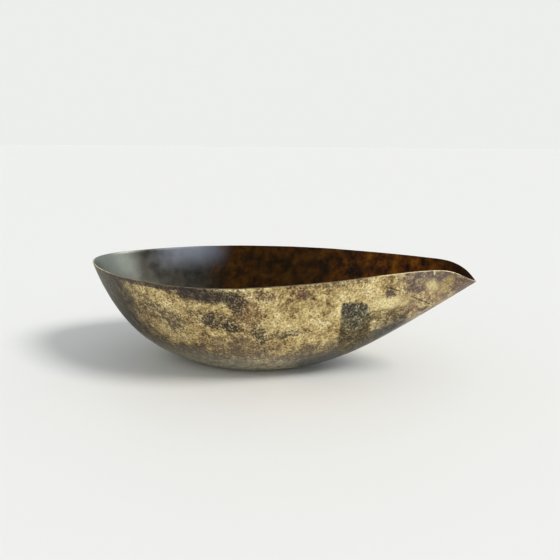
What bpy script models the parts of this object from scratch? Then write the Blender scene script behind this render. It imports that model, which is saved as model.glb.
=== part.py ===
"""A serving bowl raised by hand from one brass sheet: a round heel, full sides and a folded prow.

Metres, +Z up. The origin lies on the table, under the middle of the bowl's length and on its
centre plane. The prow points along +X, and both sides of the XZ plane are alike.
"""

import math

import bmesh
import bpy
from mathutils import Vector

# Driving dimensions
SHEET = 0.0012  # gauge of the sheet
RIM_ROUNDING = 0.00035  # the file has taken this much off both arrises of the rim

# The oval flat that the bowl rests on, beaten a little behind the middle of its length
REST_X = -0.023
REST_HALF_LENGTH = 0.032
REST_HALF_BREADTH = 0.024

# Rim stations down one side, from the prow's tip to the heel: x, half breadth, height.
# A spline batten bent past them gives the rim, 320 mm from tip to heel.
RIM_STATIONS = (
    (0.160, 0.000, 0.0780),
    (0.154, 0.015, 0.0825),
    (0.143, 0.017, 0.0895),
    (0.126, 0.027, 0.0895),
    (0.100, 0.041, 0.0880),
    (0.070, 0.0605, 0.0855),
    (0.035, 0.0785, 0.0835),
    (0.000, 0.091, 0.0815),
    (-0.045, 0.0935, 0.0805),
    (-0.090, 0.078, 0.0805),
    (-0.128, 0.053, 0.0805),
    (-0.154, 0.025, 0.0805),
    (-0.163, 0.000, 0.0805),
)

# The wall's section at the prow, the sides and the heel
RIM_SLOPE = (42.0, 69.5, 76.0)  # degrees above the table, where the wall meets the rim
FLOOR_RUN = (0.36, 0.58, 0.40)  # how far it first runs level, as a share of its breadth
RIM_RUN = (0.40, 0.38, 0.56)  # how far it is straight below the rim, as a share of its chord
PROW_SHARPNESS = 4.0  # the prow's section holds only close to the keel
HEEL_SHARPNESS = 1.5  # and the heel's spreads further round
EASING = 2  # how often the rim's stations are evened out to give the fuller line of the body

# Fineness of the mesh
COLUMNS = 80  # round the bowl
COURSES = 14  # from the flat up to the rim
ROUNDING_STEPS = 2
SHARP_ANGLE = math.radians(50)  # only the rim's arrises are sharper than this

BRASS_COLOUR = (0.36, 0.30, 0.15, 1.0)
BRASS_ROUGHNESS = 0.45
BRASS_METALLIC = 0.8


def batten_point(stations, place):
    """Point of a uniform cubic B-spline over these stations, at a place counted in spans."""
    span = min(int(place), len(stations) - 4)
    t = place - span
    weights = (
        (1 - t) ** 3,
        3 * t**3 - 6 * t**2 + 4,
        -3 * t**3 + 3 * t**2 + 3 * t + 1,
        t**3,
    )
    near = stations[span : span + 4]
    return sum((weight / 6 * Vector(point) for weight, point in zip(weights, near)), Vector())


def across(point):
    """The same point on the other side of the bowl."""
    return Vector(point) * Vector((1, -1, 1))


def side_point(stations, before_tip, angle):
    """Point of a batten that runs down one side: angle 0 is at the prow and pi is at the heel."""
    battens = (before_tip, *stations, across(stations[-2]))
    point = batten_point(battens, abs(angle) / math.pi * (len(stations) - 1))
    point.y = math.copysign(point.y, angle)
    return point


def rim_point(angle):
    """Point of the rim, which comes to a corner at the prow's tip."""
    tip, after_tip = Vector(RIM_STATIONS[0]), Vector(RIM_STATIONS[1])
    return side_point(RIM_STATIONS, 2 * tip - after_tip, angle)


def body_stations():
    """The rim's stations evened out, so that the wall below is rounder than the rim."""
    stations = [Vector(station) for station in RIM_STATIONS]
    for _ in range(EASING):
        line = [across(stations[1]), *stations, across(stations[-2])]
        stations = [(a + 2 * b + c) / 4 for a, b, c in zip(line, line[1:], line[2:])]
    return stations


BODY_STATIONS = body_stations()


def body_point(angle):
    """Point that the wall aims at from below, with no corner on the keel."""
    return side_point(BODY_STATIONS, across(BODY_STATIONS[1]), angle)


def rest_point(angle):
    """Point of the oval flat's edge."""
    return Vector(
        (REST_X + REST_HALF_LENGTH * math.cos(angle), REST_HALF_BREADTH * math.sin(angle), 0)
    )


def section_value(values, angle):
    """Blends the values for the prow, the sides and the heel at an angle round the bowl."""
    prow = ((1 + math.cos(angle)) / 2) ** PROW_SHARPNESS
    heel = ((1 - math.cos(angle)) / 2) ** HEEL_SHARPNESS
    side = max(0, 1 - prow - heel)
    return values[0] * prow + values[1] * side + values[2] * heel


def wall_point(angle, rise):
    """Point of the outer face: rise is 0 at the flat and 1 at the rim."""
    low, aim, high = rest_point(angle), body_point(angle), rim_point(angle)
    outwards = (aim - low) * Vector((1, 1, 0))
    slope = math.radians(section_value(RIM_SLOPE, angle))
    up_wall = outwards.normalized() * math.cos(slope) + Vector((0, 0, math.sin(slope)))
    low_handle = low + outwards * section_value(FLOOR_RUN, angle)
    high_handle = aim - up_wall * (aim - low).length * section_value(RIM_RUN, angle)
    fall = 1 - rise
    return (
        low * fall**3
        + low_handle * 3 * fall**2 * rise
        + high_handle * 3 * fall * rise**2
        + high * rise**3
    )


def brass():
    material = bpy.data.materials.new("aged_brass")
    material.use_nodes = True
    shader = material.node_tree.nodes["Principled BSDF"]
    shader.inputs["Base Color"].default_value = BRASS_COLOUR
    shader.inputs["Roughness"].default_value = BRASS_ROUGHNESS
    shader.inputs["Metallic"].default_value = BRASS_METALLIC
    return material


def bowl_shell(collection):
    """The outer face, drawn up course by course from the flat, then given the sheet's gauge."""
    bm = bmesh.new()
    column_of = bm.verts.layers.int.new("column")
    bmesh.ops.create_circle(bm, cap_ends=True, radius=1, segments=COLUMNS)
    for vertex in bm.verts:
        column = round(math.atan2(vertex.co.y, vertex.co.x) / math.tau * COLUMNS)
        vertex[column_of] = column
        vertex.co = rest_point(column * math.tau / COLUMNS)
    edges = bm.edges[:]
    for course in range(1, COURSES + 1):
        drawn = bmesh.ops.extrude_edge_only(bm, edges=edges)["geom"]
        for vertex in (item for item in drawn if isinstance(item, bmesh.types.BMVert)):
            vertex.co = wall_point(vertex[column_of] * math.tau / COLUMNS, course / COURSES)
        edges = [item for item in drawn if isinstance(item, bmesh.types.BMEdge) and item.is_boundary]
    bmesh.ops.recalc_face_normals(bm, faces=bm.faces)
    if min(bm.faces, key=lambda face: face.calc_center_median().z).normal.z > 0:
        bmesh.ops.reverse_faces(bm, faces=bm.faces)
    mesh = bpy.data.meshes.new("bowl_shell")
    bm.to_mesh(mesh)
    bm.free()
    mesh.shade_smooth()
    mesh.materials.append(brass())
    bowl = bpy.data.objects.new("bowl_shell", mesh)
    collection.objects.link(bowl)

    gauge = bowl.modifiers.new("gauge", "SOLIDIFY")
    gauge.thickness = SHEET
    gauge.offset = -1
    gauge.use_even_offset = True
    filed_rim = bowl.modifiers.new("filed_rim", "BEVEL")
    filed_rim.width = RIM_ROUNDING
    filed_rim.segments = ROUNDING_STEPS
    filed_rim.limit_method = "ANGLE"
    filed_rim.angle_limit = SHARP_ANGLE
    return bowl


for old in list(bpy.data.objects):
    bpy.data.objects.remove(old)
brass_bowl = bpy.data.collections.new("brass_bowl")
bpy.context.scene.collection.children.link(brass_bowl)
bowl_shell(brass_bowl)
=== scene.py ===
"""A leaf-shaped serving bowl, raised by hand from one sheet of brass and left with its old patina.

Metres, +Z up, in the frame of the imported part: the prow points along +X.
"""

import math

import bpy
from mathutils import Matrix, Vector, noise


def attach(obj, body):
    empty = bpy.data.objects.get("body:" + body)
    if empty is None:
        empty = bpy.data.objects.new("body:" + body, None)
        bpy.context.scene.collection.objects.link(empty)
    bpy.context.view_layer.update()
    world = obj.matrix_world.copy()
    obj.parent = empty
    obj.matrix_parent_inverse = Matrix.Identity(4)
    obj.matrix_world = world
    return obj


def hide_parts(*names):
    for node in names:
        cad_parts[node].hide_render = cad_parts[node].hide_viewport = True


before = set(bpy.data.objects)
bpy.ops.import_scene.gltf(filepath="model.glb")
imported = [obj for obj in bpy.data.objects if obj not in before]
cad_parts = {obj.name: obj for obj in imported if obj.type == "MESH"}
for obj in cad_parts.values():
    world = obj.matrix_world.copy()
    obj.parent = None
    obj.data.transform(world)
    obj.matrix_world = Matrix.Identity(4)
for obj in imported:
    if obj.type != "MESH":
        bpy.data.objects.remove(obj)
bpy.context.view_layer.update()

# The sheet. One disc of yellow brass, 1.2 mm thick, is raised course by course over a stake until
# it has a round heel, full sides and a prow that folds to a small lip. Nothing is joined to it.
SHEET = 0.0012
COLUMNS = 480  # of the fine mesh, round the bowl
FLAT_COURSES = 8
WALL_COURSES = 84
SEAM_GAP = 0.000001  # points closer than this are one

REST_MIDDLE = Vector((-0.023, 0, 0))  # of the oval that the bowl stands on
REST_HALF_LENGTH = 0.032
REST_HALF_BREADTH = 0.024

# The rim down one side, from the prow's tip to the heel: x, half breadth, height
RIM_STATIONS = [
    Vector((0.160, 0.000, 0.0780)),
    Vector((0.154, 0.015, 0.0825)),
    Vector((0.143, 0.017, 0.0895)),
    Vector((0.126, 0.027, 0.0895)),
    Vector((0.100, 0.041, 0.0880)),
    Vector((0.070, 0.0605, 0.0855)),
    Vector((0.035, 0.0785, 0.0835)),
    Vector((0.000, 0.091, 0.0815)),
    Vector((-0.045, 0.0935, 0.0805)),
    Vector((-0.090, 0.078, 0.0805)),
    Vector((-0.128, 0.053, 0.0805)),
    Vector((-0.154, 0.025, 0.0805)),
    Vector((-0.163, 0.000, 0.0805)),
]

# The wall's section at the prow, the sides and the heel
RIM_SLOPE = (42.0, 69.5, 76.0)  # degrees above the table, where the wall meets the rim
FLOOR_RUN = (0.36, 0.58, 0.40)  # how far it first runs level, as a share of its breadth
RIM_RUN = (0.40, 0.38, 0.56)  # how far it is straight below the rim, as a share of its chord
PROW_SHARPNESS = 4.0  # the prow's section holds only close to the keel
HEEL_SHARPNESS = 1.5  # and the heel's spreads further round
EASING = 2  # how often the stations are evened out for the fuller line of the body

# What the hand leaves: the rim wanders a little, and the planishing hammer leaves flat spots
RIM_WANDER = 0.0004
RIM_WANDER_LENGTH = 0.035
HAMMER_SPOT = 0.012
HAMMER_DEPTH = 0.0002  # of the pattern: most of the face moves out by 0.01 to 0.13 mm
RIM_FILED = 0.00035  # what the file has taken off both arrises of the rim
FILE_STROKES = 2  # the facets that it leaves on each
SHARP_ANGLE = math.radians(50)  # only the rim's arrises are sharper than this


def across(point):
    """The same point on the other side of the bowl."""
    return point * Vector((1, -1, 1))


def side_point(stations, before_tip, angle):
    """Point of a batten bent past the stations: angle 0 is at the prow and pi is at the heel."""
    battens = (before_tip, *stations, across(stations[-2]))
    place = abs(angle) / math.pi * (len(stations) - 1)
    span = min(int(place), len(battens) - 4)
    t = place - span
    weights = (
        (1 - t) ** 3,
        3 * t**3 - 6 * t**2 + 4,
        -3 * t**3 + 3 * t**2 + 3 * t + 1,
        t**3,
    )
    point = sum((weights[i] / 6 * battens[span + i] for i in range(4)), Vector())
    point.y = math.copysign(point.y, angle)
    return point


def evened_out(stations):
    """Each station drawn towards its neighbours on the batten."""
    line = [across(stations[1]), *stations, across(stations[-2])]
    return [(a + 2 * b + c) / 4 for a, b, c in zip(line, line[1:], line[2:])]


BODY_STATIONS = RIM_STATIONS
for _ in range(EASING):
    BODY_STATIONS = evened_out(BODY_STATIONS)


def section_value(values, angle):
    """Blends the values for the prow, the sides and the heel."""
    prow = ((1 + math.cos(angle)) / 2) ** PROW_SHARPNESS
    heel = ((1 - math.cos(angle)) / 2) ** HEEL_SHARPNESS
    return values[0] * prow + values[1] * max(0, 1 - prow - heel) + values[2] * heel


def column_handles(angle):
    """The four handles of the wall's curve at this angle, from the flat's edge up to the rim."""
    low = REST_MIDDLE + Vector(
        (REST_HALF_LENGTH * math.cos(angle), REST_HALF_BREADTH * math.sin(angle), 0)
    )
    aim = side_point(BODY_STATIONS, across(BODY_STATIONS[1]), angle)
    high = side_point(RIM_STATIONS, 2 * RIM_STATIONS[0] - RIM_STATIONS[1], angle)
    high.z += RIM_WANDER * noise.noise(high / RIM_WANDER_LENGTH)
    outwards = (aim - low) * Vector((1, 1, 0))
    slope = math.radians(section_value(RIM_SLOPE, angle))
    up_wall = outwards.normalized() * math.cos(slope) + Vector((0, 0, math.sin(slope)))
    low_handle = low + outwards * section_value(FLOOR_RUN, angle)
    high_handle = aim - up_wall * (aim - low).length * section_value(RIM_RUN, angle)
    return low, low_handle, high_handle, high


def wall_point(handles, rise):
    """Point of the outer face: rise is 0 at the flat and 1 at the rim."""
    fall = 1 - rise
    weights = (fall**3, 3 * fall**2 * rise, 3 * fall * rise**2, rise**3)
    return sum((weight * handle for weight, handle in zip(weights, handles)), Vector())


def column_points(angle):
    """Points up one column, from the middle of the flat, out to its edge and up to the rim."""
    handles = column_handles(angle)
    flat = [REST_MIDDLE.lerp(handles[0], i / FLAT_COURSES) for i in range(FLAT_COURSES)]
    return flat + [wall_point(handles, i / WALL_COURSES) for i in range(WALL_COURSES + 1)]


# A flat grid, from -1 to 1 each way, is wrapped round the bowl: x becomes the way round it from
# the heel, and y the way out from the middle of the flat and up to the rim
bpy.ops.object.select_all(action="DESELECT")
bpy.ops.mesh.primitive_grid_add(
    x_subdivisions=COLUMNS, y_subdivisions=FLAT_COURSES + WALL_COURSES, size=2
)
bowl = bpy.context.object
bowl.name = "beaten_bowl"
bowl.data.name = "beaten_bowl"
below_rim = bowl.data.attributes.new("below_rim", "FLOAT", "POINT")  # metres down the wall
columns = {}
for vertex in bowl.data.vertices:
    column = round((vertex.co.x + 1) / 2 * COLUMNS)
    course = round((vertex.co.y + 1) / 2 * (FLAT_COURSES + WALL_COURSES))
    columns.setdefault(column, {})[course] = vertex.index
for column, courses in columns.items():
    points = column_points((column / COLUMNS * 2 - 1) * math.pi)
    depth = 0
    above = points[-1]
    for course in sorted(courses, reverse=True):
        vertex = bowl.data.vertices[courses[course]]
        vertex.co = points[course]
        depth += (above - points[course]).length
        above = points[course]
        below_rim.data[vertex.index].value = depth

bpy.ops.object.mode_set(mode="EDIT")
bpy.ops.mesh.select_all(action="SELECT")
bpy.ops.mesh.remove_doubles(threshold=SEAM_GAP)  # closes the grid's seam at the heel and its middle
bpy.ops.object.mode_set(mode="OBJECT")

hammer_marks = bpy.data.textures.new("hammer_marks", "VORONOI")
hammer_marks.distance_metric = "DISTANCE_SQUARED"
hammer_marks.noise_scale = HAMMER_SPOT
planish = bowl.modifiers.new("planish", "DISPLACE")
planish.texture = hammer_marks
planish.texture_coords = "LOCAL"
planish.strength = HAMMER_DEPTH
planish.mid_level = 0
bpy.ops.object.modifier_apply(modifier=planish.name)
for vertex in bowl.data.vertices:
    vertex.co.z = max(vertex.co.z, 0)  # the flat is true

gauge = bowl.modifiers.new("gauge", "SOLIDIFY")
gauge.thickness = SHEET
gauge.offset = -1
gauge.use_even_offset = True
gauge.material_offset = 1  # the inner face takes the second finish
gauge.material_offset_rim = 2  # and the sheet's edge the third


# The sheet's three finishes. The outside keeps a mottled patina of khaki, brown and slate, the
# inside is a darker satin, and along the edge the file bared the brass at the prow and the heel.
def colour(red, green, blue):
    """A paint chart's 0 to 255 values as the light that they reflect."""
    shares = (value / 255 for value in (red, green, blue))
    return (*(((s + 0.055) / 1.055) ** 2.4 if s > 0.04045 else s / 12.92 for s in shares), 1)


class Tone:
    """A socket of a finish's node tree, so that sums of masks read as plain arithmetic."""

    def __init__(self, tree, socket=None):
        self.tree = tree
        self.socket = socket

    def feed(self, node, sockets):
        """Links tones to a node's sockets, and sets plain values on them."""
        for name, value in sockets.items():
            if isinstance(value, Tone):
                self.tree.links.new(value.socket, node.inputs[name])
            else:
                node.inputs[name].default_value = value

    def node(self, kind, settings, sockets, output=0):
        """Adds a node, its settings first, and gives back one of its outputs."""
        made = self.tree.nodes.new(kind)
        for name, value in settings.items():
            if name == "stops":
                for place, _ in value[1:-1]:
                    made.color_ramp.elements.new(place)
                for element, (place, tint) in zip(made.color_ramp.elements, value):
                    element.position = place
                    element.color = tint
            else:
                setattr(made, name, value)
        self.feed(made, sockets)
        return Tone(self.tree, made.outputs[output])

    def maths(self, operation, *values, clamp=False):
        settings = {"operation": operation, "use_clamp": clamp}
        return self.node("ShaderNodeMath", settings, dict(enumerate(values)))

    def __add__(self, other):
        return self.maths("ADD", self, other)

    def __sub__(self, other):
        return self.maths("SUBTRACT", self, other)

    def __rsub__(self, other):
        return self.maths("SUBTRACT", other, self)

    def __mul__(self, other):
        return self.maths("MULTIPLY", self, other)

    def __truediv__(self, other):
        return self.maths("DIVIDE", self, other)

    __radd__ = __add__
    __rmul__ = __mul__

    def capped(self):
        """Held between 0 and 1."""
        return self.maths("ADD", self, 0, clamp=True)

    def swing(self, amount):
        """Noise as a swing about zero, this much for a noise that runs from 0 to 1."""
        return amount * (self - 0.5)

    def over(self, low, high):
        """0 up to low, 1 from high on, and a soft step between them."""
        settings = {"interpolation_type": "SMOOTHSTEP"}
        sockets = {"Value": self, "From Min": low, "From Max": high}
        return self.node("ShaderNodeMapRange", settings, sockets)

    def under(self, low, high):
        """1 up to low, 0 from high on, and a soft step between them."""
        return 1 - self.over(low, high)

    def painted(self, mask, other):
        """This colour, with another one laid over it where the mask is 1."""
        settings = {"data_type": "RGBA"}
        return self.node("ShaderNodeMix", settings, {0: mask, 6: self, 7: other}, output=2)

    def tinted(self, other):
        """This colour, multiplied by another one."""
        settings = {"data_type": "RGBA", "blend_type": "MULTIPLY"}
        return self.node("ShaderNodeMix", settings, {0: 1.0, 6: self, 7: other}, output=2)

    def axis(self, letter):
        """One part of a place: X, Y or Z."""
        return self.node("ShaderNodeSeparateXYZ", {}, {0: self}, output="XYZ".index(letter))


def new_finish(name):
    """A material with one Principled shader, and a Tone to paint it with."""
    material = bpy.data.materials.new(name)
    material.use_nodes = True
    return material, material.node_tree.nodes["Principled BSDF"], Tone(material.node_tree)


def speckle(paint, place, size, detail, roughness=0.6):
    """Cloudy noise with spots of about this size, in metres."""
    sockets = {"Vector": place, "Scale": 1 / size, "Detail": detail, "Roughness": roughness}
    return paint.node("ShaderNodeTexNoise", {}, sockets)


def ramp(tone, *stops):
    """Colours spread over a tone's values, each stop a value and its colour."""
    return tone.node("ShaderNodeValToRGB", {"stops": stops}, {"Fac": tone})


def grained(paint, relief, strength, height):
    """The normal of a surface with this relief, whose full height is in metres."""
    sockets = {"Strength": strength, "Distance": height, "Height": relief}
    return paint.node("ShaderNodeBump", {}, sockets, output="Normal")


outside, outside_shader, paint = new_finish("patina_outside")
place = paint.node("ShaderNodeTexCoord", {}, {}, output="Object")
along, side, height = (place.axis(letter) for letter in "XYZ")
down_wall = paint.node("ShaderNodeAttribute", {"attribute_name": "below_rim"}, {}, output="Fac")

CLOUD_SIZE = 0.045
BLOTCH_SIZE = 0.014
FLAKE_SIZE = 0.0045
GRAIN_SIZE = 0.0016
clouds = speckle(paint, place, CLOUD_SIZE, detail=3)
blotches = speckle(paint, place, BLOTCH_SIZE, detail=6, roughness=0.7)
flakes = speckle(paint, place, FLAKE_SIZE, detail=4, roughness=0.7)
grain = speckle(paint, place, GRAIN_SIZE, detail=3, roughness=0.8)
rough_edge = blotches + flakes + grain - 1.5  # the three noises' own middle, so it is about zero

KEEL_LINE = (-0.004, 0.004)  # across the bowl, where its two sides meet
near = side.under(*KEEL_LINE)
far = 1 - near

STAIN_REACH = 0.03  # how far a stain goes to either side of its middle, across the bowl
STAIN_SOFTNESS = 0.35  # of its edge, as a share of its size


def stain(middle, half_length, half_height, lean=0, ragged=1.2):
    """An oval stain in the wall, leaning up towards the prow by some degrees, with a ragged edge."""
    sockets = {
        "Vector": place,
        "Location": middle,
        "Rotation": (0, -math.radians(lean), 0),
        "Scale": (half_length, STAIN_REACH, half_height),
    }
    local = paint.node("ShaderNodeMapping", {"vector_type": "TEXTURE"}, sockets)
    reach = paint.node("ShaderNodeVectorMath", {"operation": "LENGTH"}, {0: local}, output=1)
    return (reach + ragged * rough_edge).under(1 - STAIN_SOFTNESS, 1 + STAIN_SOFTNESS)


# The ground: khaki patina, with painted shade that darkens it towards the heel and low down, and
# painted light that makes it yellowest by the prow, the end turned to the light
WORN = 0.53  # how far the patina is rubbed away on the whole
HEEL_TO_PROW = (-0.11, 0.04)
LOW_TO_HIGH = (0.014, 0.052)
# painted light and shade: the wall lighter towards the prow and darker towards the heel
PAINTED_LIGHT_BY_PROW = 0.14
BELLY = 0.85  # where most of the belly lies on the scale from heel to prow
# painted shade: darker low down, where the belly turns under
PAINTED_SHADE_LOW_DOWN = 0.20
SPECKS = (0.49, 0.56)
# the patina's wear, with the painted light and shade added in
worn_and_lit = WORN + clouds.swing(0.6) + blotches.swing(1.0) + flakes.swing(0.7)
worn_and_lit = worn_and_lit + grain.swing(0.5) + PAINTED_LIGHT_BY_PROW * (along.over(*HEEL_TO_PROW) - BELLY)
worn_and_lit = worn_and_lit - PAINTED_SHADE_LOW_DOWN * height.under(*LOW_TO_HIGH)
ground = ramp(
    worn_and_lit.capped(),
    (0.22, colour(58, 44, 30)),
    (0.34, colour(108, 86, 60)),
    (0.42, colour(152, 129, 88)),
    (0.51, colour(188, 164, 112)),
    (0.60, colour(212, 190, 136)),
    (0.80, colour(238, 223, 178)),
)
worn_through = (grain * 0.6 + flakes * 0.4).over(*SPECKS)  # specks in which old stains are gone

# The heel is an olive brown patina, streaked from the rim downwards, and darkened further with painted
# shade where it turns away from the light
HEEL_FADES = (-0.108, -0.074)
STREAK_SIZE = 0.005
STREAK_SLIMNESS = 0.12  # a streak's breadth as a share of its length
drawn_down = paint.node(
    "ShaderNodeMapping",
    {"vector_type": "POINT"},
    {"Vector": place, "Scale": (1, 1, STREAK_SLIMNESS)},
)
streaks = speckle(paint, drawn_down, STREAK_SIZE, detail=3)
heel = (along + blotches.swing(0.04) + streaks.swing(0.02)).under(*HEEL_FADES)
heel_brown_and_shade = ramp(
    streaks * 0.5 + grain * 0.5,
    (0.40, colour(20, 17, 9)),
    (0.50, colour(48, 43, 26)),
    (0.62, colour(92, 82, 54)),
)
# the heel's own olive brown together with painted shade
ground = ground.painted(0.9 * heel, heel_brown_and_shade)

# The lowest part of the wall is painted a paler grey, a painted reflection of the white table under it
TABLE_REFLECTION_FADES = (0.008, 0.034)
table_reflection = (height + blotches.swing(0.016) + flakes.swing(0.008)).under(*TABLE_REFLECTION_FADES)
table_reflection_grey = ramp(flakes, (0.4, colour(146, 138, 118)), (0.6, colour(186, 180, 160)))
# painted reflection of the table, laid over the patina
ground = ground.painted(0.85 * table_reflection, table_reflection_grey)

# The keel was rubbed smooth and slate grey under the prow
KEEL_STARTS = (0.012, 0.040)
KEEL_ENDS = (0.112, 0.135)
KEEL_HALF_BREADTH = 0.042  # of the slate, at its start
KEEL_TAPER_FROM = 0.03
KEEL_TAPER = 0.32  # metres of half breadth lost in each metre towards the prow
KEEL_EDGE = (0.8, 1.3)  # as shares of the half breadth
keel_breadth = KEEL_HALF_BREADTH - KEEL_TAPER * (along - KEEL_TAPER_FROM).capped()
off_keel = paint.maths("ABSOLUTE", side) + blotches.swing(0.016) + flakes.swing(0.012)
keel = (off_keel / keel_breadth).under(*KEEL_EDGE)
keel = keel * (along + blotches.swing(0.03)).over(*KEEL_STARTS) * along.under(*KEEL_ENDS)
slate_grey = ramp(flakes, (0.35, colour(58, 58, 54)), (0.7, colour(88, 88, 84)))
ground = ground.painted(0.95 * keel, slate_grey)

# A crisp-edged dark patch on the near side, where something once lay against the metal. It is
# slaty at the top and brownish below, and a pale line runs beside the top of its back edge.
PATCH_BACK = 0.0560  # the edge towards the heel, as it would be at the table's height
PATCH_BACK_LEAN = 0.17  # metres that this edge leans forward in each metre up
PATCH_BACK_FADE = (0, 0.0012)
PATCH_FRONT = (0.0835, 0.0875)
PATCH_TOP = (0.066, 0.069)
PATCH_TOP_FALL = 0.17  # metres that the top falls in each metre towards the prow
PATCH_MIDDLE = 0.068
SLATY_ABOVE = (0.036, 0.064)
PALE_LINE_STARTS = (-0.0022, -0.0008)  # from the patch's back edge
PALE_LINE_ENDS = (-0.0004, 0.0008)
PALE_LINE_FOOT = (0.050, 0.058)
PALE_LINE_HEAD = (0.0695, 0.0725)
back_edge = along - PATCH_BACK_LEAN * height - PATCH_BACK + flakes.swing(0.003) + blotches.swing(0.005)
front_edge = along + flakes.swing(0.008) + blotches.swing(0.012)
top_edge = height + PATCH_TOP_FALL * (along - PATCH_MIDDLE) + flakes.swing(0.020)
patch = near * back_edge.over(*PATCH_BACK_FADE)
patch = patch * front_edge.under(*PATCH_FRONT) * top_edge.under(*PATCH_TOP)
speckled = flakes * 0.45 + grain * 0.55
slaty = ramp(
    speckled,
    (0.42, colour(38, 38, 38)),
    (0.51, colour(80, 79, 72)),
    (0.60, colour(186, 178, 146)),
)
brownish = ramp(
    speckled,
    (0.42, colour(40, 34, 22)),
    (0.51, colour(84, 72, 46)),
    (0.62, colour(150, 132, 84)),
)
slaty_top = (height + blotches.swing(0.08) + flakes.swing(0.03)).over(*SLATY_ABOVE)
ground = ground.painted(0.95 * patch, brownish.painted(slaty_top, slaty))
pale_line = back_edge.over(*PALE_LINE_STARTS) * back_edge.under(*PALE_LINE_ENDS) * near
pale_line = pale_line * height.over(*PALE_LINE_FOOT) * height.under(*PALE_LINE_HEAD)
ground = ground.painted(0.7 * pale_line, colour(236, 218, 160))

# The prow is a browner mix
PROW_STARTS = (0.098, 0.124)
prow = (along + blotches.swing(0.05)).over(*PROW_STARTS)
prow_brown = ramp(
    blotches * 0.45 + flakes * 0.55,
    (0.40, colour(96, 80, 74)),
    (0.47, colour(142, 121, 100)),
    (0.53, colour(180, 156, 118)),
    (0.60, colour(214, 194, 150)),
)
ground = ground.painted(0.85 * prow, prow_brown)

# The far side has marks of the same kind where they fell, and a band all along under its rim
PURPLE_BROWN = colour(60, 50, 48)
OLD_MARK_SIZE = 0.030
OLD_MARK_TURN = (0.8, 0.4, 2.1)  # so that these marks aren't the near side's blotches again
DARK_MARKS = (0.55, 0.60)  # of that noise
PALE_MARKS = (0.33, 0.38)
FAR_BAND_ENDS = (0.003, 0.006)  # metres down the wall
turned = paint.node(
    "ShaderNodeMapping",
    {"vector_type": "POINT"},
    {"Vector": place, "Rotation": OLD_MARK_TURN},
)
old_marks = speckle(paint, turned, OLD_MARK_SIZE, detail=6, roughness=0.65)
dark_marks = far * (1 - 0.7 * worn_through) * old_marks.over(*DARK_MARKS)
ground = ground.painted(0.75 * dark_marks, colour(94, 78, 64))
ground = ground.painted(0.65 * far * old_marks.under(*PALE_MARKS), colour(222, 206, 156))
far_band = (down_wall + old_marks.swing(0.03) + flakes.swing(0.012)).under(*FAR_BAND_ENDS)
ground = ground.painted(0.9 * far * far_band, PURPLE_BROWN)

# The near side's stains, each where it lies: colour, how much it hides, how far it is worn through
# in specks, and then its middle, half length, half height, lean and, for some, its raggedness
stains = (
    (colour(120, 88, 60), 0.80, 0.45, ((0.003, -0.080, 0.061), 0.010, 0.019, 0)),
    (colour(124, 106, 88), 0.55, 0.6, ((-0.008, -0.064, 0.031), 0.024, 0.012, 0)),
    (colour(70, 63, 57), 0.85, 0.95, ((-0.020, -0.078, 0.054), 0.017, 0.007, -12)),
    (colour(52, 46, 42), 0.75, 0.7, ((-0.012, -0.076, 0.049), 0.007, 0.004, -20, 1.8)),
    (colour(98, 88, 76), 0.70, 0.6, ((-0.056, -0.074, 0.050), 0.010, 0.009, -30)),
    (colour(92, 80, 68), 0.80, 0.6, ((-0.070, -0.075, 0.060), 0.006, 0.005, -30)),
    (colour(72, 64, 52), 0.85, 0.6, ((0.0095, -0.0665, 0.0425), 0.005, 0.009, 0)),
    (colour(84, 74, 58), 0.85, 0.6, ((0.028, -0.060, 0.0434), 0.014, 0.0032, 8)),
    (colour(124, 108, 84), 0.55, 0.5, ((0.046, -0.045, 0.0260), 0.020, 0.0080, 12)),
    (colour(104, 76, 62), 0.85, 0.6, ((0.043, -0.071, 0.0782), 0.0045, 0.0042, 0)),
    (colour(104, 78, 62), 0.80, 0.6, ((0.019, -0.081, 0.0763), 0.007, 0.0045, -10)),
    (colour(104, 84, 66), 0.75, 0.6, ((0.066, -0.061, 0.0835), 0.021, 0.0028, 3)),
    (PURPLE_BROWN, 0.97, 0.1, ((-0.024, -0.089, 0.0755), 0.026, 0.0065, -4, 0.6)),
    (PURPLE_BROWN, 0.95, 0.15, ((-0.070, -0.086, 0.0797), 0.046, 0.0028, 0, 0.5)),
    (PURPLE_BROWN, 0.80, 0.35, ((-0.002, -0.084, 0.0700), 0.006, 0.0100, 0)),
    (colour(104, 92, 92), 0.70, 0.5, ((0.127, -0.026, 0.0850), 0.021, 0.0060, 0)),
    (colour(104, 88, 84), 0.75, 0.4, ((0.118, -0.024, 0.0760), 0.008, 0.0045, 0)),
    (colour(112, 92, 80), 0.85, 0.3, ((0.151, -0.010, 0.0775), 0.013, 0.0090, 0)),
    (colour(96, 84, 58), 0.70, 0.6, ((0.097, -0.024, 0.0535), 0.011, 0.0085, 20)),
    (colour(238, 222, 168), 0.95, 0.1, ((0.098, -0.030, 0.0650), 0.0085, 0.0050, 10, 2.0)),
    (colour(232, 214, 160), 0.85, 0.3, ((0.1285, -0.018, 0.0775), 0.0036, 0.0044, 30, 3.0)),
    (colour(190, 166, 116), 0.80, 0.15, ((0.1395, -0.015, 0.0780), 0.0035, 0.0070, -25)),
    (colour(98, 84, 80), 0.95, 0.15, ((0.0998, -0.0325, 0.0722), 0.0030, 0.0030, 0, 2.5)),
)
for tint, hiding, wear, shape in stains:
    ground = ground.painted(hiding * stain(*shape) * (1 - wear * worn_through), tint)

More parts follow.
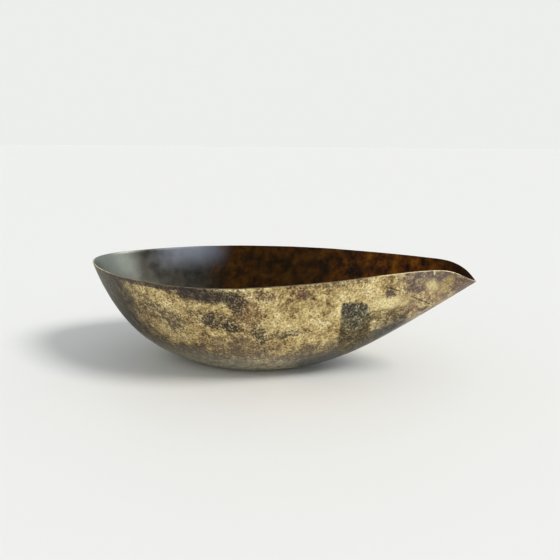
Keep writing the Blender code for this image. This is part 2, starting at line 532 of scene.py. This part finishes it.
# A fine granular speckle, and dark pits in clusters
PITS_PER_METRE = 330
PIT_EDGE = (0.16, 0.30)  # as shares of the way between pits
PIT_CLUSTERS = (0.47, 0.56)
speck = ramp(
    grain,
    (0.34, (0.50, 0.48, 0.45, 1)),
    (0.47, (0.92, 0.92, 0.91, 1)),
    (0.64, (1.30, 1.29, 1.26, 1)),
)
ground = ground.tinted(speck)
cell = paint.node(
    "ShaderNodeTexVoronoi",
    {},
    {"Vector": place, "Scale": PITS_PER_METRE, "Randomness": 1.0},
)
pits = cell.under(*PIT_EDGE) * (clouds * 0.5 + blotches * 0.5).over(*PIT_CLUSTERS)
ground = ground.painted(0.85 * pits, colour(52, 42, 30))

# A few cracks at the prow, and one bright scratch just under its near rim: middle, half length,
# half height and lean
CRACKS = (
    ((0.1025, -0.033, 0.0762), 0.0060, 0.0007, -25),
    ((0.1210, -0.012, 0.0650), 0.0100, 0.0006, -32),
    ((0.1240, -0.006, 0.0580), 0.0040, 0.0006, 50),
)
SCRATCH = ((0.1303, -0.0228, 0.0880), 0.0006, 0.0022, 0)
CRACK_RAGGED = 0.7
SCRATCH_RAGGED = 0.5
cracks = sum(stain(*crack, ragged=CRACK_RAGGED) for crack in CRACKS).capped()
ground = ground.painted(0.8 * cracks, colour(64, 50, 38))
ground = ground.painted(0.9 * stain(*SCRATCH, ragged=SCRATCH_RAGGED), colour(226, 212, 178))

PATINA_SPECULAR = 0.25
PATINA_ROUGHNESS = 0.46
PATINA_RELIEF = 0.00025
patina_relief = grain * 0.5 + flakes * 0.5 - pits * 0.4 - cracks * 0.8
patina_roughness = PATINA_ROUGHNESS + grain.swing(0.25) + blotches.swing(0.12) - 0.14 * keel
outside_sockets = {
    "Base Color": ground,
    "Specular IOR Level": PATINA_SPECULAR,
    "Metallic": (0.35 + 0.5 * worn_and_lit).capped(),  # most metallic where the patina is gone
    "Roughness": patina_roughness.capped(),
    "Normal": grained(paint, patina_relief, strength=0.5, height=PATINA_RELIEF),
}
paint.feed(outside_shader, outside_sockets)

# Inside, the heel is slate, with a paler grey-green end and a lilac sheen that are painted reflections
# of the window, and the rest is amber, darker in the belly and darkest at the prow
SATIN_METALLIC = 0.9
SATIN_ROUGHNESS = 0.398
SATIN_RELIEF = 0.0001
SATIN_CLOUD_SIZE = 0.040
MOTTLE_SIZE = 0.010
DUST_SIZE = 0.0018
DUST_SETTLES = (0.55, 0.75)
HEEL_REFLECTION_END = (-0.160, -0.134)
PAINTED_SHEEN_STARTS = (-0.136, -0.100)
PAINTED_SHEEN_HEIGHT = (0.056, 0.082)
SLATE_TO_AMBER = (-0.098, -0.062)
DARK_AMBER_ENDS = (0.010, 0.080)
DARK_PROW_STARTS = (0.118, 0.146)
inside, inside_shader, paint = new_finish("satin_inside")
place = paint.node("ShaderNodeTexCoord", {}, {}, output="Object")
along, height = place.axis("X"), place.axis("Z")
clouds = speckle(paint, place, SATIN_CLOUD_SIZE, detail=3)
mottle = speckle(paint, place, MOTTLE_SIZE, detail=6, roughness=0.7)
dust = speckle(paint, place, DUST_SIZE, detail=3, roughness=0.7)
slate_and_reflections = ramp(mottle, (0.3, colour(30, 29, 24)), (0.7, colour(58, 56, 49)))
# painted reflection: the window shows as a paler grey-green at the heel's end
slate_and_reflections = slate_and_reflections.painted((along + clouds.swing(0.012)).under(*HEEL_REFLECTION_END), colour(134, 140, 132))
# painted sheen: the window's reflection, lilac, high on the heel's far wall
painted_sheen = (along + clouds.swing(0.04)).over(*PAINTED_SHEEN_STARTS) * height.over(*PAINTED_SHEEN_HEIGHT)
slate_and_reflections = slate_and_reflections.painted(0.9 * painted_sheen, colour(132, 136, 148))
amber = ramp(
    mottle + clouds.swing(0.3),
    (0.36, colour(28, 13, 2)),
    (0.50, colour(84, 42, 3)),
    (0.60, colour(112, 66, 6)),
    (0.72, colour(116, 84, 18)),
)
dark_amber = (along + clouds.swing(0.04)).under(*DARK_AMBER_ENDS)
amber = amber.painted(0.65 * dark_amber, colour(30, 24, 8))
satin = slate_and_reflections.painted((along + clouds.swing(0.03)).over(*SLATE_TO_AMBER), amber)
dark_prow = (along + mottle.swing(0.02)).over(*DARK_PROW_STARTS)
satin = satin.painted(0.8 * dark_prow, colour(26, 14, 6))
satin = satin.painted(0.2 * dust.over(*DUST_SETTLES), colour(30, 24, 12))
inside_sockets = {
    "Base Color": satin,
    "Metallic": SATIN_METALLIC,
    "Roughness": (SATIN_ROUGHNESS + mottle.swing(0.18) + dust.swing(0.08)).capped(),
    "Normal": grained(paint, dust, strength=0.3, height=SATIN_RELIEF),
}
paint.feed(inside_shader, inside_sockets)

# The sheet's edge is dulled along the sides, and bared by the file at the prow and the heel
EDGE_METALLIC = 0.8
EDGE_ROUGHNESS = 0.38
BARED_PROW = (0.080, 0.100)
BARED_HEEL = (-0.125, -0.100)
WEAR_SIZE = 0.006
filed, filed_shader, paint = new_finish("filed_rim")
place = paint.node("ShaderNodeTexCoord", {}, {}, output="Object")
along = place.axis("X")
wear = speckle(paint, place, WEAR_SIZE, detail=4)
bared = (along + wear.swing(0.03)).over(*BARED_PROW) + (along + wear.swing(0.02)).under(*BARED_HEEL)
bright = ramp(wear, (0.35, colour(150, 134, 96)), (0.6, colour(214, 200, 160)))
dulled = ramp(wear, (0.35, colour(80, 70, 56)), (0.65, colour(140, 122, 86)))
edge_sockets = {
    "Base Color": dulled.painted(bared.capped(), bright),
    "Metallic": EDGE_METALLIC,
    "Roughness": EDGE_ROUGHNESS,
}
paint.feed(filed_shader, edge_sockets)

for finish in (outside, inside, filed):
    bowl.data.materials.append(finish)
bpy.ops.object.modifier_apply(modifier=gauge.name)
file_stroke = bowl.modifiers.new("file_stroke", "BEVEL")
file_stroke.width = RIM_FILED
file_stroke.segments = FILE_STROKES
file_stroke.limit_method = "ANGLE"
file_stroke.angle_limit = SHARP_ANGLE
bpy.ops.object.modifier_apply(modifier=file_stroke.name)
bpy.ops.object.shade_smooth()
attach(bowl, "root")
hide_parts("bowl_shell")

# The table. A plain pale floor in a matt white paint, level with the flat that the bowl rests on,
# and so wide that its edge lies out of view.
TABLE_SIZE = 12
TABLE_WHITE = (0.86, 0.86, 0.84, 1)
TABLE_ROUGHNESS = 0.6
bpy.ops.object.select_all(action="DESELECT")
bpy.ops.mesh.primitive_plane_add(size=TABLE_SIZE)
table = bpy.context.object
table.name = "table"
white, white_shader, paint = new_finish("white_table")
paint.feed(white_shader, {"Base Color": TABLE_WHITE, "Roughness": TABLE_ROUGHNESS})
table.data.materials.append(white)

# The light. Soft daylight comes from the right and from high up, as through a tall window, in a
# pale room whose ceiling is dimmer than its walls.
SUN_DIRECTION = Vector((0.76, -0.15, 0.78))  # from the bowl towards the light
SUN_STRENGTH = 2.1
SUN_BREADTH = math.radians(20)
SUN_COLOUR = (1, 0.98, 0.95)
WALL_LIGHT = (0.84, 0.86, 0.83, 1)
WALL_TOP = 0.25  # as the sine of the angle above the horizon
CEILING_LIGHT = (0.50, 0.52, 0.54, 1)
CEILING_EDGE = 0.60
daylight = bpy.data.lights.new("daylight", "SUN")
daylight.energy = SUN_STRENGTH
daylight.angle = SUN_BREADTH
daylight.color = SUN_COLOUR
sky_window = bpy.data.objects.new("daylight", daylight)
sky_window.rotation_euler = SUN_DIRECTION.to_track_quat("Z", "Y").to_euler()
bpy.context.collection.objects.link(sky_window)

room = bpy.data.worlds.new("room")
room.use_nodes = True
paint = Tone(room.node_tree)
upwards = paint.node("ShaderNodeTexCoord", {}, {}, output="Generated").axis("Z")
room_light = ramp(upwards, (WALL_TOP, WALL_LIGHT), (CEILING_EDGE, CEILING_LIGHT))
paint.feed(room.node_tree.nodes["Background"], {"Color": room_light})
bpy.context.scene.world = room
bpy.context.scene.view_settings.view_transform = "Standard"

# The camera. It looks a little down on the bowl's near side from rather over half a metre away,
# with the prow to the right.
SENSOR = 36  # millimetres, and so is the lens
LENS = 44.17
EYE = (0.1596, -0.5263, 0.192)
LOOK_DOWN = math.radians(12.59)
LOOK_LEFT = math.radians(16.29)
camera = bpy.data.cameras.new("camera")
camera.sensor_width = SENSOR
camera.lens = LENS
viewer = bpy.data.objects.new("camera", camera)
viewer.location = EYE
viewer.rotation_euler = (math.pi / 2 - LOOK_DOWN, 0, LOOK_LEFT)
bpy.context.collection.objects.link(viewer)
bpy.context.scene.camera = viewer
